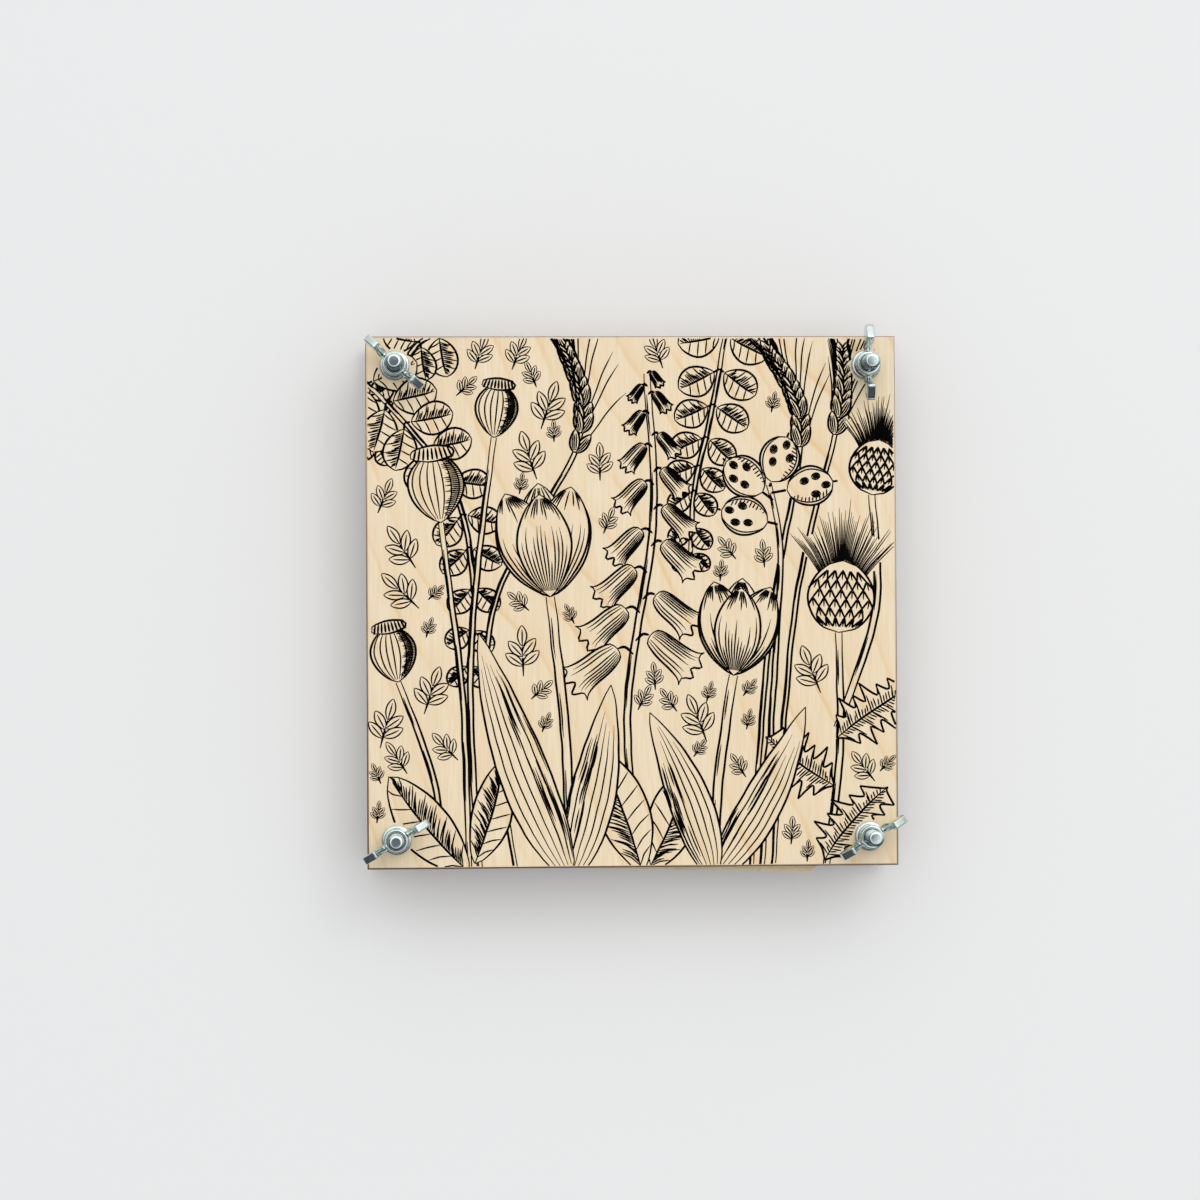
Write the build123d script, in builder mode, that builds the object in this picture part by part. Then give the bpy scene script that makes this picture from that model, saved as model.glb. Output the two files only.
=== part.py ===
from build123d import *
import math
import os

# A flower press. Two plywood boards squeeze a stack of corrugated cards and
# blotting papers, and four carriage bolts with washers and wing nuts hold them.
# Millimetres, +Z up. The origin is on the table, under the middle of the press,
# and the front of the press looks along -Y.

# Boards
board_side = 200.0
board_thickness = 6.0
board_edge_break = 0.2
bolt_inset = 11.0
hole_clearance = 0.3

# Carriage bolts
thread_diameter = 6.0
bolt_protrusion = 10.4
bolt_end_chamfer = 0.9
head_diameter = 16.0
head_height = 3.6
head_rim_height = 0.8
neck_side = 6.4
neck_height = 4.0
neck_clearance = 0.05

# Washers
washer_diameter = 11.2
washer_thickness = 1.6
washer_clearance = 0.2
washer_rounding = 0.4

# Wing nuts
nut_running_clearance = 0.06
nut_hub_base_diameter = 10.4
nut_hub_top_diameter = 10.0
nut_hub_height = 8.0
nut_mouth_chamfer = 0.5
nut_rim_rounding = 1.1
nut_rim_rounding_limit_share = 0.9
wing_span = 29.6
wing_height = 14.6
wing_pad_length = 9.8
wing_pad_width = 5.6
wing_pad_thickness = 3.1
wing_pad_rounding = 0.7
wing_pad_lean = 30.0
wing_web_thickness = 2.0

# The web of a wing, as shares of the hub's height and of the pad's own length
web_foot_low_share = 0.16
web_foot_high_share = 0.84
web_pad_low_share = 0.4
web_pad_high_share = 0.1
web_sag_share = 0.08

# Sheets of the stack
sheet_inset = 1.5
corner_clearance = 4.2
sheet_slack = 2.4
card_thickness = 3.0
liner_thickness = 0.4
medium_thickness = 0.32
flute_pitch = 6.3
flute_wall_angle = 50.0
flute_rounding = 0.45
blotter_thickness = 1.0

# How the sheets lie, from the bottom up: turns in degrees, shifts as shares of
# the slack. The top card is the one that has slipped out at the front right.
card_turns = (0.3, -0.25, 0.4, -0.3, -1.42)
card_shift_shares = ((0.2, -0.2), (-0.25, 0.15), (0.1, 0.25), (-0.15, -0.1), (0.25, -1.0))
blotter_turns = (-0.2, 0.35, 0.15, -0.4, 0.25, -0.15, 0.4, -0.3)
blotter_shift_shares = (
    (0.15, 0.2), (-0.2, -0.1), (0.25, 0.1), (-0.1, 0.25),
    (0.1, -0.25), (-0.25, 0.1), (0.2, -0.15), (-0.1, -0.2),
)

# The angle at which each wing nut stands, in degrees from +X
front_left_wing_angle = 31.3
front_right_wing_angle = 31.2
back_left_wing_angle = -42.3
back_right_wing_angle = 90.8

# The corners, as the side of the middle that each one lies on
bolt_corners = {
    "front_left": (-1, -1),
    "front_right": (1, -1),
    "back_left": (-1, 1),
    "back_right": (1, 1),
}
wing_angles = {
    "front_left": front_left_wing_angle,
    "front_right": front_right_wing_angle,
    "back_left": back_left_wing_angle,
    "back_right": back_right_wing_angle,
}

# Worked out from the sizes above
thread_radius = thread_diameter / 2
bolt_spacing = board_side - 2 * bolt_inset
sheet_side = board_side - 2 * sheet_inset
corner_cut = 2 * (bolt_inset - sheet_inset) + math.sqrt(2) * (thread_radius + corner_clearance)
card_count = len(card_turns)
blotter_count = len(blotter_turns)
blotters_per_layer = blotter_count // (card_count - 1)
stack_height = card_count * card_thickness + blotter_count * blotter_thickness
bottom_board_level = head_height
stack_level = bottom_board_level + board_thickness
top_board_level = stack_level + stack_height
washer_level = top_board_level + board_thickness
nut_level = washer_level + washer_thickness
bolt_top = nut_level + nut_hub_height + bolt_protrusion

os.makedirs("parts", exist_ok=True)


def save(piece, name):
    """Label a finished piece and write it as its own file."""
    piece.label = name
    export_step(piece, f"parts/{name}.step")


def corner_plane(corner, level, angle=0.0):
    """A level plane on a bolt's axis, turned by an angle about it."""
    side_x, side_y = bolt_corners[corner]
    turn = math.radians(angle)
    return Plane(
        origin=(side_x * bolt_spacing / 2, side_y * bolt_spacing / 2, level),
        x_dir=(math.cos(turn), math.sin(turn), 0),
        z_dir=(0, 0, 1),
    )


def sheet_plane(level, turn, shift_shares):
    """A level plane for a sheet that lies a little askew in the stack."""
    angle = math.radians(turn)
    shift_x, shift_y = shift_shares
    return Plane(
        origin=(shift_x * sheet_slack, shift_y * sheet_slack, level),
        x_dir=(math.cos(angle), math.sin(angle), 0),
        z_dir=(0, 0, 1),
    )


# Top board: a square with four bolt holes
with BuildPart() as top_board:
    with BuildSketch(Plane.XY.offset(top_board_level)):
        Rectangle(board_side, board_side)
    extrude(amount=board_thickness)
    chamfer(top_board.edges().filter_by(Axis.Z, reverse=True), board_edge_break)
    with BuildSketch(Plane.XY.offset(top_board_level)):
        with GridLocations(bolt_spacing, bolt_spacing, 2, 2):
            Circle(thread_radius + hole_clearance)
    extrude(amount=board_thickness, mode=Mode.SUBTRACT)
save(top_board.part, "top_board")

# Bottom board: the same square, with a square seat for each bolt's neck
with BuildPart() as bottom_board:
    with BuildSketch(Plane.XY.offset(bottom_board_level)):
        Rectangle(board_side, board_side)
    extrude(amount=board_thickness)
    chamfer(bottom_board.edges().filter_by(Axis.Z, reverse=True), board_edge_break)
    with BuildSketch(Plane.XY.offset(bottom_board_level)):
        with GridLocations(bolt_spacing, bolt_spacing, 2, 2):
            Circle(thread_radius + hole_clearance)
    extrude(amount=board_thickness, mode=Mode.SUBTRACT)
    with BuildSketch(Plane.XY.offset(bottom_board_level)):
        with GridLocations(bolt_spacing, bolt_spacing, 2, 2):
            Rectangle(neck_side + 2 * neck_clearance, neck_side + 2 * neck_clearance)
    extrude(amount=neck_height + neck_clearance, mode=Mode.SUBTRACT)
save(bottom_board.part, "bottom_board")

# A carriage bolt: a domed head below, a square neck and a round shank
with BuildPart() as plain_bolt:
    with BuildSketch(Plane.XZ):
        with BuildLine():
            dome = TangentArc(
                (0, 0),
                (head_diameter / 2, head_height - head_rim_height),
                tangent=(1, 0),
            )
            Polyline(
                dome @ 1,
                (head_diameter / 2, head_height),
                (0, head_height),
                (0, 0),
            )
        make_face()
    revolve(axis=Axis.Z)
    with BuildSketch(Plane.XY.offset(head_height)):
        Rectangle(neck_side, neck_side)
    extrude(amount=neck_height)
    with BuildSketch(Plane.XY.offset(head_height)):
        Circle(thread_radius)
    extrude(amount=bolt_top - head_height)
    bolt_end = plain_bolt.faces().sort_by(Axis.Z)[-1]
    chamfer(bolt_end.edges(), bolt_end_chamfer)

# A washer: a ring with a rounded upper edge
with BuildPart() as plain_washer:
    with BuildSketch():
        Circle(washer_diameter / 2)
        Circle(thread_radius + washer_clearance, mode=Mode.SUBTRACT)
    extrude(amount=washer_thickness)
    washer_top = plain_washer.faces().sort_by(Axis.Z)[-1]
    fillet(washer_top.outer_wire().edges(), washer_rounding)

# A wing nut: two leaning pads, the webs that carry them, and a tapered hub
pad_lean = math.radians(wing_pad_lean)
pad_reach = math.hypot(wing_pad_length * math.sin(pad_lean), wing_pad_width * math.cos(pad_lean)) / 2
pad_rise = math.hypot(wing_pad_length * math.cos(pad_lean), wing_pad_width * math.sin(pad_lean)) / 2
pad_x = wing_span / 2 - pad_reach
pad_z = wing_height - pad_rise
bore_radius = thread_radius + nut_running_clearance
hub_land = nut_hub_top_diameter / 2 - bore_radius - nut_mouth_chamfer
hub_rim_rounding = min(nut_rim_rounding, hub_land * nut_rim_rounding_limit_share)
web_foot_x = (bore_radius + nut_hub_top_diameter / 2) / 2
foot_low = Vector(web_foot_x, nut_hub_height * web_foot_low_share)
foot_high = Vector(web_foot_x, nut_hub_height * web_foot_high_share)
pad_low = Vector(pad_x, pad_z - wing_pad_length * web_pad_low_share)
pad_high = Vector(pad_x, pad_z + wing_pad_length * web_pad_high_share)
web_sag = Vector(0, wing_pad_length * web_sag_share)
with BuildPart() as plain_wing_nut:
    with BuildSketch(Plane.XZ):
        with Locations((pad_x, pad_z)):
            Ellipse(wing_pad_width / 2, wing_pad_length / 2, rotation=-wing_pad_lean)
        mirror(about=Plane.YZ)
    extrude(amount=wing_pad_thickness / 2, both=True)
    fillet(plain_wing_nut.edges().filter_by(GeomType.ELLIPSE), wing_pad_rounding)
    with BuildSketch(Plane.XZ):
        with BuildLine():
            ThreePointArc(foot_low, (foot_low + pad_low) / 2 - web_sag, pad_low)
            Line(pad_low, pad_high)
            ThreePointArc(pad_high, (pad_high + foot_high) / 2 - web_sag, foot_high)
            Line(foot_high, foot_low)
        make_face()
        mirror(about=Plane.YZ)
    extrude(amount=wing_web_thickness / 2, both=True)
    with BuildSketch(Plane.XZ) as hub_wall:
        with BuildLine():
            Polyline(
                (bore_radius + nut_mouth_chamfer, 0),
                (nut_hub_base_diameter / 2, 0),
                (nut_hub_top_diameter / 2, nut_hub_height),
                (bore_radius + nut_mouth_chamfer, nut_hub_height),
                (bore_radius, nut_hub_height - nut_mouth_chamfer),
                (bore_radius, nut_mouth_chamfer),
                close=True,
            )
        make_face()
        hub_rim = hub_wall.vertices().group_by(Axis.Y)[-1].sort_by(Axis.X)[-1]
        fillet(hub_rim, hub_rim_rounding)
    revolve(axis=Axis.Z)

# The fasteners at the four corners, each wing nut at its own angle
for corner in bolt_corners:
    with BuildPart(corner_plane(corner, 0)) as bolt:
        add(plain_bolt.part)
    save(bolt.part, f"bolt_{corner}")
    with BuildPart(corner_plane(corner, washer_level)) as washer:
        add(plain_washer.part)
    save(washer.part, f"washer_{corner}")
    with BuildPart(corner_plane(corner, nut_level, wing_angles[corner])) as wing_nut:
        add(plain_wing_nut.part)
    save(wing_nut.part, f"wing_nut_{corner}")

# One channel of a corrugated card, open towards the upper liner. It is drawn
# about the middle of the card, so half a turn makes a channel below the wave.
wave_height = card_thickness - 2 * liner_thickness
wall_run = 1 / math.tan(math.radians(flute_wall_angle))
wall_width = medium_thickness / math.sin(math.radians(flute_wall_angle))
channel_middle = flute_pitch / 4 - wall_width / 2
channel_low = medium_thickness - wave_height / 2
channel_high = wave_height / 2
channel_low_half = channel_middle + channel_low * wall_run
channel_high_half = channel_middle + channel_high * wall_run
with BuildSketch() as channel:
    with BuildLine():
        Polyline(
            (-channel_low_half, channel_low),
            (channel_low_half, channel_low),
            (channel_high_half, channel_high),
            (-channel_high_half, channel_high),
            close=True,
        )
    make_face()
    fillet(channel.vertices().group_by(Axis.Y)[0], flute_rounding)

# A corrugated card: two liners with a wavy medium, cut to the sheet's outline.
# Its flutes run from front to back.
channel_count = math.ceil(sheet_side / flute_pitch)
with BuildPart() as flat_card:
    with BuildSketch(Plane.XZ.offset(-sheet_side)):
        with Locations((0, card_thickness / 2)):
            Rectangle((channel_count + 1) * flute_pitch, card_thickness)
            with GridLocations(flute_pitch, 0, channel_count, 1):
                add(channel.sketch, mode=Mode.SUBTRACT)
            with GridLocations(flute_pitch, 0, channel_count + 1, 1):
                add(channel.sketch, rotation=180, mode=Mode.SUBTRACT)
    extrude(amount=2 * sheet_side)
    with BuildSketch() as card_outline:
        Rectangle(sheet_side, sheet_side)
        chamfer(card_outline.vertices(), corner_cut)
    extrude(amount=card_thickness, mode=Mode.INTERSECT)

# A blotting paper: a plain thick sheet with the same cut corners
with BuildPart() as flat_blotter:
    with BuildSketch() as blotter_outline:
        Rectangle(sheet_side, sheet_side)
        chamfer(blotter_outline.vertices(), corner_cut)
    extrude(amount=blotter_thickness)

# The stack, from the bottom up: a card, its papers, the next card and so on
layer_height = card_thickness + blotters_per_layer * blotter_thickness
for index in range(card_count):
    level = stack_level + index * layer_height
    with BuildPart(sheet_plane(level, card_turns[index], card_shift_shares[index])) as card:
        add(flat_card.part)
    save(card.part, f"card_{index + 1}")
for index in range(blotter_count):
    layer, place = divmod(index, blotters_per_layer)
    level = stack_level + layer * layer_height + card_thickness + place * blotter_thickness
    with BuildPart(sheet_plane(level, blotter_turns[index], blotter_shift_shares[index])) as blotter:
        add(flat_blotter.part)
    save(blotter.part, f"blotter_{index + 1}")
print(f"stack {stack_height:.1f} mm, bolts {bolt_top - head_height:.1f} mm, corner cut {corner_cut:.1f} mm")
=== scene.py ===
# %% [markdown]
# # A flower press
# Two square boards of birch plywood squeeze a stack of cards and blotting papers. A long bolt
# goes through each corner, and a wing nut on it draws the boards together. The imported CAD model
# is the frame of the scene: it says where every piece is and how large it is. This lesson gives
# the pieces their looks, models the fasteners again with their threads and forged curves, and
# prints a drawing on the upper board.

# %% Load the frame
import math
import random
from functools import partial

import bmesh
import bpy
from mathutils import Matrix, Vector, noise
from mathutils.geometry import interpolate_bezier


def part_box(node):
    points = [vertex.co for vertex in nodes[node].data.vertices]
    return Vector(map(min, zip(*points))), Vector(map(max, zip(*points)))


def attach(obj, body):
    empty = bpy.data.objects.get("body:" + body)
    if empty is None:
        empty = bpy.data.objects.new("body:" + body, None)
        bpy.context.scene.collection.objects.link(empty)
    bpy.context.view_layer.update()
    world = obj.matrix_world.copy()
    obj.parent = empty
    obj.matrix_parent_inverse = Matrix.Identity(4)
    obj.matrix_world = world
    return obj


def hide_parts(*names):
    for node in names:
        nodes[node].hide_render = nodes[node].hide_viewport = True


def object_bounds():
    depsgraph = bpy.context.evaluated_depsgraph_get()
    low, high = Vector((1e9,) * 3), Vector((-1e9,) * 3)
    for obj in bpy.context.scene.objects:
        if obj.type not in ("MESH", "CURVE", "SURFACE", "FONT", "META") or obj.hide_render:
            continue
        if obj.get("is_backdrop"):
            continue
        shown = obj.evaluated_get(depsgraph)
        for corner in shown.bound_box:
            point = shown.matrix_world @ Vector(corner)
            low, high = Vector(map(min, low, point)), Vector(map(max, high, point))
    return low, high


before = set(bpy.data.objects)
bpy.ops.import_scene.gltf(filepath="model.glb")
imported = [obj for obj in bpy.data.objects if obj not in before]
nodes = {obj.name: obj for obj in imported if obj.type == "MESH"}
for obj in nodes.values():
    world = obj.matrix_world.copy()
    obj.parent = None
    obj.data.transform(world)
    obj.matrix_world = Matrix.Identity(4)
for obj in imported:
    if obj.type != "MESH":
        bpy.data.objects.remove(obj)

MM = 0.001
scene = bpy.context.scene
corners = ("front_left", "front_right", "back_left", "back_right")
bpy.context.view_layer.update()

# %% [markdown]
# ## The camera
# The press is seen from straight above, through a long lens that hardly shows its sides. The
# camera stands a little to the left of the middle, so the right-hand fasteners lean to the right.
# Its place and turn were fitted to the four corners of the upper board and to the bolt ends.

# %% Set up the camera
sensor_width = 36
lens_length = 95.58
camera_place = Vector((-72.0, -24.6, 1236.1)) * MM
camera_turn = [math.radians(angle) for angle in (1.22, -2.85, -0.34)]

camera_data = bpy.data.cameras.new("camera")
camera_data.sensor_width = sensor_width
camera_data.lens = lens_length
camera = bpy.data.objects.new("camera", camera_data)
camera.location = camera_place
camera.rotation_euler = camera_turn
scene.collection.objects.link(camera)
scene.camera = camera
scene.view_settings.view_transform = "Standard"
print("camera height in mm:", round(camera.location.z / MM))

# %% [markdown]
# ## Helpers for every material
# Colours are written as the hex values that a colour picker shows, so one function turns them to
# the linear values that Blender mixes. A node is added by one function, whatever its kind: it sets
# the node's options and then its inputs, each to a value or to a link from another node. Every
# material starts with a shader and object coordinates in millimetres, and with that function
# bound to its tree.

# %% Colour and node helpers
def colour(hex_code):
    """An sRGB hex colour as linear red, green, blue and alpha."""
    shares = [int(hex_code[start:start + 2], 16) / 255 for start in (1, 3, 5)]
    linear = [c / 12.92 if c <= 0.04045 else ((c + 0.055) / 1.055) ** 2.4 for c in shares]
    return (*linear, 1.0)


def set_inputs(node, inputs):
    """Set inputs of a node to values, or link them to sockets or to the first output of nodes.

    Inputs are named, or counted from 0 where names repeat. Sockets that are out of use are passed over.
    """
    in_use = {socket.name: socket for socket in reversed(node.inputs.values()) if socket.enabled}
    for name, value in inputs.items():
        target = node.inputs[name] if isinstance(name, int) else in_use[name]
        if isinstance(value, bpy.types.Node):
            value = next(socket for socket in value.outputs if socket.enabled)
        if isinstance(value, bpy.types.NodeSocket):
            node.id_data.links.new(value, target)
        else:
            target.default_value = value


def add_node(tree, kind, inputs=None, stops=(), **options):
    """Add a node with its options and inputs. Stops are the places and colours of a ramp."""
    made = tree.nodes.new("ShaderNode" + kind)
    for name, value in options.items():
        setattr(made, name, value)
    set_inputs(made, inputs or {})
    for index, (place, tint) in enumerate(stops):
        if index >= len(made.color_ramp.elements):
            made.color_ramp.elements.new(place)
        made.color_ramp.elements[index].position = place
        made.color_ramp.elements[index].color = colour(tint)
    return made


def new_material(name):
    """An empty material, a function that adds nodes to it, its shader and object coordinates in mm."""
    material = bpy.data.materials.new(name)
    material.use_nodes = True
    material.node_tree.nodes.clear()
    add = partial(add_node, material.node_tree)
    surface = add("BsdfPrincipled")
    add("OutputMaterial", {"Surface": surface})
    place = add("TexCoord").outputs["Object"]
    in_mm = add("VectorMath", {0: place, "Scale": 1 / MM}, operation="SCALE")
    return material, add, surface, in_mm


print("middle grey in linear light:", round(colour("#808080")[0], 3))

# %% [markdown]
# ## The table
# A large white table carries the press and takes its shadow. It is painted matt, so light spreads
# on it evenly and it needs no pattern. It is only the stage and no part of the press.

# %% Table
table_side = 8.0
table_mesh = bmesh.new()
bmesh.ops.create_grid(table_mesh, x_segments=1, y_segments=1, size=table_side / 2)
table_data = bpy.data.meshes.new("table")
table_mesh.to_mesh(table_data)
table_mesh.free()
table = bpy.data.objects.new("table", table_data)
scene.collection.objects.link(table)
table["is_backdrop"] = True

table_paint, _, surface, _ = new_material("matt_white_table_paint")
set_inputs(surface, {"Base Color": colour("#e9e9e9"), "Roughness": 0.75, "Specular IOR Level": 0.2})
table_data.materials.append(table_paint)
print("table side in m:", table_side)

# %% [markdown]
# ## The light in the room
# Soft daylight comes from overhead, more from the back than from the front, so the table stays
# light behind the press and turns grey in front of it. A bright patch on the sky does most of
# this, and one big lamp adds the direction. Polished metal shows its form only by what it mirrors,
# so mirrors alone see a furnished room with a dark front and a bright back, and a soft grey disc
# where the camera is. Everything else gets even grey walls, and the camera itself sees them as
# pale as the table.

# %% Walls of the room
bright_side = Vector((0.3, 0.95, 0.0)).normalized()
mirrored_wall_stops = ((0.3, "#4c4d54"), (0.52, "#748081"), (0.8, "#f5efdc"))
things_scale = 5.0

sky = bpy.data.worlds.new("daylight_room")
sky.use_nodes = True
sky.node_tree.nodes.clear()
add = partial(add_node, sky.node_tree)
direction = add("TexCoord").outputs["Generated"]
light_path = add("LightPath")
mirrored_ray = light_path.outputs["Is Glossy Ray"]
camera_ray = light_path.outputs["Is Camera Ray"]
facing = add("VectorMath", {0: direction, 1: bright_side}, operation="DOT_PRODUCT")
facing_share = add("MapRange", {"Value": facing, "From Min": -1.0})
mirrored_walls = add("ValToRGB", {"Fac": facing_share}, mirrored_wall_stops)
things = add("TexNoise", {"Vector": direction, "Scale": things_scale, "Detail": 2.0})
uneven = add("MapRange", {"Value": things, "From Min": 0.3, "From Max": 0.7, "To Min": 0.5, "To Max": 1.5})
furnished = add("VectorMath", {0: mirrored_walls, "Scale": uneven}, operation="SCALE")
walls = add("Mix", {"Factor": mirrored_ray, "A": colour("#b9bbbd"), "B": furnished}, data_type="RGBA")
print("walls for mirrors in", len(mirrored_wall_stops), "tones")

# %% Window overhead, camera disc and backdrop
window_side = Vector((0.05, 0.36, 1.0)).normalized()
window_light = (1.67, 1.67, 1.67, 1.0)
mirrored_window = (1.38, 1.38, 1.38, 1.0)
camera_side = Vector((-0.035, 0.02, 1.0)).normalized()
camera_inner, camera_outer = math.radians(5.5), math.radians(15)
sky_strength = 1.035

upward = add("VectorMath", {0: direction, 1: window_side}, operation="DOT_PRODUCT")
window_edge = {"Value": upward, "From Min": 0.6, "From Max": 0.96}
overhead = add("MapRange", window_edge, interpolation_type="SMOOTHSTEP")
window = add("Mix", {"Factor": mirrored_ray, "A": window_light, "B": mirrored_window}, data_type="RGBA")
room = add("Mix", {"Factor": overhead, "A": walls, "B": window}, data_type="RGBA")

near_camera = add("VectorMath", {0: direction, 1: camera_side}, operation="DOT_PRODUCT")
disc_edge = {"Value": near_camera, "From Min": math.cos(camera_outer), "From Max": math.cos(camera_inner)}
in_disc = add("MapRange", disc_edge, interpolation_type="SMOOTHSTEP")
disc_share = add("Math", {0: in_disc, 1: mirrored_ray}, operation="MULTIPLY")
with_disc = add("Mix", {"Factor": disc_share, "A": room, "B": colour("#6c7276")}, data_type="RGBA")
seen = add("Mix", {"Factor": camera_ray, "A": with_disc, "B": colour("#e3e4e5")}, data_type="RGBA")
glow = add("Background", {"Color": seen, "Strength": sky_strength})
add("OutputWorld", {"Surface": glow})
scene.world = sky
print("nodes in the sky:", len(sky.node_tree.nodes))

# %% Window lamp
lamp_side = Vector((0.36, 0.5, 1.0)).normalized()
lamp_distance = 1.6
lamp_data = bpy.data.lights.new("window_lamp", "AREA")
lamp_data.shape = "SQUARE"
lamp_data.size = 0.6
lamp_data.energy = 2.2
lamp = bpy.data.objects.new("window_lamp", lamp_data)
lamp.location = lamp_side * lamp_distance
lamp.rotation_euler = (-lamp.location).to_track_quat("-Z", "Y").to_euler()
scene.collection.objects.link(lamp)
print("lamp at", [round(x, 2) for x in lamp.location])

# %% [markdown]
# ## The face of a birch board
# Birch for plywood is peeled off the log. Its face is pale cream, with short fine fibres from front
# to back. The growth rings show as faint yellow bands that slant across the fibres, each with a
# crisp side and a soft side. Stretched noise gives the fibres, and a sawtooth that wanders and
# fades gives the rings. Every pattern is worked out in millimetres.

# %% Birch fibres and growth rings
# Width and length in mm: of the fibres, of broader bands, and of the wander of the rings
fibre_size, band_size, wander_size = (0.7, 14), (5, 90), (70, 150)
fibre_stops = ((0.3, "#e8d3b1"), (0.5, "#efddc0"), (0.72, "#f6e8d0"))
ring_spacing = 15.0
ring_wander = 45.0
ring_slant = math.radians(26)
ring_stops = ((0.0, "#000000"), (0.07, "#ffffff"), (0.18, "#9a9a9a"), (0.55, "#000000"))
ring_patch_size = 45


def streaks(add, place, size, detail):
    """Noise in streaks that run from front to back, of a width and a length in mm."""
    width, length = size
    stretched = add("Mapping", {"Vector": place, "Scale": (1 / width, 1 / length, 1.0)})
    return add("TexNoise", {"Vector": stretched, "Scale": 1.0, "Detail": detail})


def birch_face(add, in_mm, seed):
    """The colour of a peeled birch face, and the fibres in it."""
    place = add("VectorMath", {0: in_mm, 1: (seed, 2 * seed, 0)}, operation="ADD")
    fibres = streaks(add, place, fibre_size, 3.0)
    bands = streaks(add, place, band_size, 2.0)
    wood = add("ValToRGB", {"Fac": fibres}, fibre_stops)
    toned = add("Mix", {"Factor": bands, "A": wood, "B": colour("#e7d1ad")}, data_type="RGBA")

    wander = streaks(add, place, wander_size, 1.0)
    slant = (math.cos(ring_slant), math.sin(ring_slant), 0)
    across = add("VectorMath", {0: place, 1: slant}, operation="DOT_PRODUCT")
    ring_place = add("Math", {0: wander, 1: ring_wander, 2: across}, operation="MULTIPLY_ADD")
    ring_count = add("Math", {0: ring_place, 1: ring_spacing}, operation="DIVIDE")
    ring_share = add("Math", {0: ring_count}, operation="FRACT")
    ring = add("ValToRGB", {"Fac": ring_share}, ring_stops)
    patches = add("TexNoise", {"Vector": place, "Scale": 1 / ring_patch_size, "Detail": 1.0})
    fading = {"Value": patches, "From Min": 0.35, "From Max": 0.65, "To Min": 0.1, "To Max": 0.5}
    ring_fade = add("MapRange", fading)
    yellow = add("Math", {0: ring, 1: ring_fade}, operation="MULTIPLY")
    ringed = add("Mix", {"Factor": yellow, "A": toned, "B": colour("#e0b068")}, data_type="RGBA")
    return ringed, fibres


print("growth rings every", ring_spacing, "mm")

# %% [markdown]
# ## The laser-cut edge
# A laser cut the boards, so their edges are burnt brown, and the faces have a thin charred rim.
# The rim is painted darker at the front and left as shade, since those edges face away from the
# light. The five plies show on the edge, the cross plies darker, all under uneven soot. The edge is
# told from the face by the way it points.

# %% Charred rim with painted shade, and burnt plies
rim_width = 0.8
# Direction of the side away from the light, where the rim is darkest: painted shade
painted_shade_side = Vector((-0.35, -0.95, 0)).normalized()
ply_count = 5
soot_size = (3, 3, 1.5)
steepest_face = 0.85


def cut_edge(add):
    """1 on a cut edge, where the surface doesn't face straight up or down, and 0 elsewhere."""
    normal = add("SeparateXYZ", {0: add("TexCoord").outputs["Normal"]})
    upright = add("Math", {0: normal.outputs["Z"]}, operation="ABSOLUTE")
    return add("Math", {0: upright, 1: steepest_face}, operation="LESS_THAN")


def charred_rim_with_painted_shade(add, in_mm, half_side):
    """How dark the rim of a face is: a thin charred line along the cut, made strongest at the front and
    left with painted shade.
    """
    parts = add("SeparateXYZ", {0: in_mm})
    side_x = add("Math", {0: parts.outputs["X"]}, operation="ABSOLUTE")
    side_y = add("Math", {0: parts.outputs["Y"]}, operation="ABSOLUTE")
    nearest = add("Math", {0: side_x, 1: side_y}, operation="MAXIMUM")
    rim_edge = {"Value": nearest, "From Min": half_side - rim_width, "From Max": half_side - rim_width / 2}
    rim = add("MapRange", rim_edge)
    # The rim grows towards the front and left edges, which face away from the light: painted shade
    toward_shaded_side = add("VectorMath", {0: in_mm, 1: painted_shade_side}, operation="DOT_PRODUCT")
    painted_shade = add("MapRange", {"Value": toward_shaded_side, "From Min": -half_side, "From Max": half_side, "To Min": 0.05})
    return add("Math", {0: rim, 1: painted_shade}, operation="MULTIPLY")


def burnt_plies(add, in_mm, bottom, thickness):
    """The colour of a cut edge: plies in two tones, burnt in uneven soot."""
    parts = add("SeparateXYZ", {0: in_mm})
    height = add("Math", {0: parts.outputs["Z"], 1: bottom}, operation="SUBTRACT")
    ply = add("Math", {0: height, 1: ply_count / thickness}, operation="MULTIPLY")
    ply_index = add("Math", {0: ply}, operation="FLOOR")
    cross_ply = add("Math", {0: ply_index, 1: 2.0}, operation="FLOORED_MODULO")
    tones = {"Factor": cross_ply, "A": colour("#94663c"), "B": colour("#573720")}
    plies = add("Mix", tones, data_type="RGBA")
    soot_place = add("Mapping", {"Vector": in_mm, "Scale": [1 / size for size in soot_size]})
    soot = add("TexNoise", {"Vector": soot_place, "Scale": 1.0, "Detail": 4.0})
    return add("Mix", {"Factor": soot, "A": plies, "B": colour("#2c1b10")}, data_type="RGBA")


print("plies in a board:", ply_count)

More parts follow.
